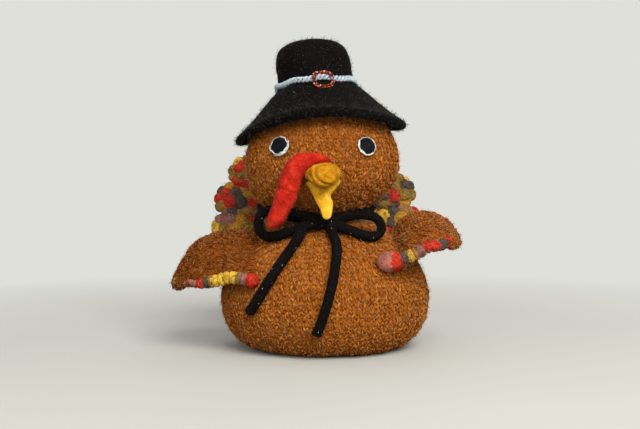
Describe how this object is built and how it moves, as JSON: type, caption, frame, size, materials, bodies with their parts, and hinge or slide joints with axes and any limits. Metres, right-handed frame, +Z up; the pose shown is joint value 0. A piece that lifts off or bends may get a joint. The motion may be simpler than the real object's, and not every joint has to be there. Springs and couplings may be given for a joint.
{
  "type": "thanksgiving turkey figure",
  "caption": "Knitted and felted wool turkey with a round body, a wide-brimmed hat that lifts off, a cord bow, cupped wings and a fanned tail, standing on its flat base.",
  "frame": {"origin": "middle of the flat base that the body stands on", "axes": "+Z up, the face looks along -Y, +X is the turkey's own left"},
  "size_m": [0.2144, 0.1886, 0.2398],
  "materials": {
    "brown_wool": "knitted and felted, fuzzy, heathered",
    "fibre_fill": "loose fibre",
    "pouch_cotton": "plain woven, filled with pellets",
    "eye_thread": "satin-stitched thread",
    "white_yarn": "loose stitches",
    "ochre_felt": "felted, fuzzy",
    "yellow_felt": "felted, fuzzy",
    "red_felt": "felted, fuzzy",
    "black_cord": "knitted cord, felted, a little fuzzy",
    "black_felt": "thick felt, fuzzy edge",
    "band_yarn": "twisted, slightly shiny",
    "copper_beads": "polished beads",
    "variegated_wool": "felted, fuzzy, patches of red, gold, grey and mauve"
  },
  "bodies": {
    "figure": {"body_cover": "brown_wool", "body_stuffing": "fibre_fill", "weight_pouch": "pouch_cotton", "head_cover": "brown_wool", "head_stuffing": "fibre_fill", "neck_seam": "brown_wool", "left_eye_pupil": "eye_thread", "left_eye_outline": "white_yarn", "right_eye_pupil": "eye_thread", "right_eye_outline": "white_yarn", "upper_beak": "ochre_felt", "lower_beak": "yellow_felt", "neck_tie": "black_cord", "tie_knot": "black_cord", "left_tie_loop": "black_cord", "right_tie_loop": "black_cord", "left_tie_end": "black_cord", "right_tie_end": "black_cord"},
    "hat": {"hat_felt": "black_felt", "hat_band": "band_yarn", "hat_buckle": "copper_beads"},
    "left_wing": {"left_wing_panel": "brown_wool", "left_wing_edging": "variegated_wool", "left_wing_bobble": "variegated_wool"},
    "right_wing": {"right_wing_panel": "brown_wool", "right_wing_edging": "variegated_wool", "right_wing_bobble": "variegated_wool"},
    "tail": {"tail_root": "variegated_wool", "tail_feather_1": "variegated_wool", "tail_feather_2": "variegated_wool", "tail_feather_3": "variegated_wool", "tail_feather_4": "variegated_wool", "tail_feather_5": "variegated_wool", "tail_feather_6": "variegated_wool", "tail_feather_7": "variegated_wool", "tail_feather_8": "variegated_wool", "tail_feather_9": "variegated_wool", "tail_feather_10": "variegated_wool"},
    "snood": {"snood": "red_felt"}
  },
  "joints": [
    {"name": "hat_lift", "type": "slide", "parent": "figure", "child": "hat", "axis": [-0.0906, 0, 0.9959], "range_m": [0, 0.06]},
    {"name": "left_wing_bend", "type": "hinge", "parent": "figure", "child": "left_wing", "pos_m": [0.05749, -0.02632, 0.08009], "axis": [0, -0.9304, -0.3665], "range_deg": [-37, 22], "stiffness_Nm_per_rad": 0.15},
    {"name": "right_wing_bend", "type": "hinge", "parent": "figure", "child": "right_wing", "pos_m": [-0.05749, -0.02632, 0.08009], "axis": [0, 0.9304, 0.3665], "range_deg": [-2, 57], "stiffness_Nm_per_rad": 0.15},
    {"name": "tail_bend", "type": "hinge", "parent": "figure", "child": "tail", "pos_m": [-0.007, 0.06883, 0.07941], "axis": [-1, 0, 0], "range_deg": [-3, 40], "stiffness_Nm_per_rad": 0.5},
    {"name": "snood_swing", "type": "hinge", "parent": "figure", "child": "snood", "pos_m": [0.0025, -0.0605, 0.1415], "axis": [-1, 0, 0], "range_deg": [0, 50]}
  ]
}
